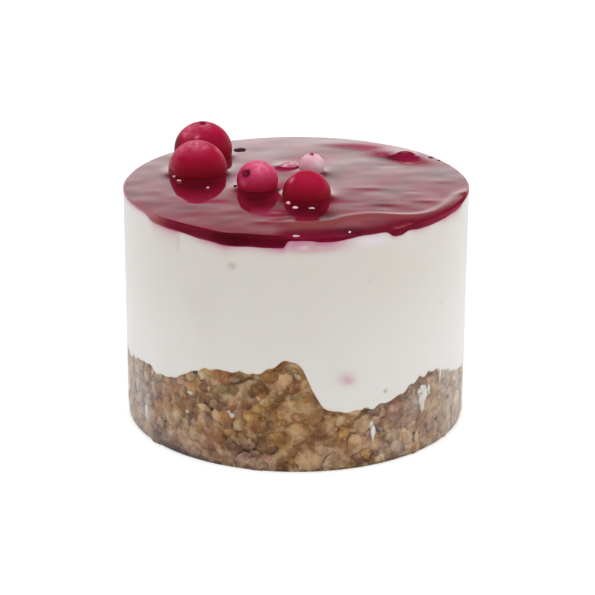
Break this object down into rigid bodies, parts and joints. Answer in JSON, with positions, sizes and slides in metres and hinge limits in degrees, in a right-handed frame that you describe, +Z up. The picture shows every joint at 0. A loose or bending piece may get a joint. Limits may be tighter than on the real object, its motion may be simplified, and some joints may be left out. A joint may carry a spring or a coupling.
{
  "type": "mixed berry cheesecake",
  "caption": "Small round layered cheesecake in a clear band: granola base, white cream cheese, red berry jelly and currants on top.",
  "frame": {"origin": "centre of the flat underside, which the cake stands on", "axes": "+Z up through the cake, -Y towards the side that the picture shows, +X to the right seen from there"},
  "size_m": [0.07, 0.07, 0.0562],
  "materials": {
    "granola": "baked oat granules, dry, rough",
    "cream_cheese": "smooth white cream, soft sheen",
    "berry_jelly": "dark red set jelly, wet gloss",
    "currant_skin": "crimson berry skin, glossy",
    "pink_currant_skin": "pink red berry skin, glossy",
    "pale_currant_skin": "pale pink berry skin, glossy",
    "clear_film": "clear flexible film, glossy"
  },
  "bodies": {
    "root": {"granola_base": "granola", "cream_filling": "cream_cheese", "berry_jelly": "berry_jelly", "currant_back_left": "currant_skin", "currant_front_left": "currant_skin", "currant_middle": "pink_currant_skin", "currant_front_right": "currant_skin", "currant_pale": "pale_currant_skin", "currant_sunk": "currant_skin", "currant_low": "pale_currant_skin", "clear_band": "clear_film"}
  },
  "joints": []
}
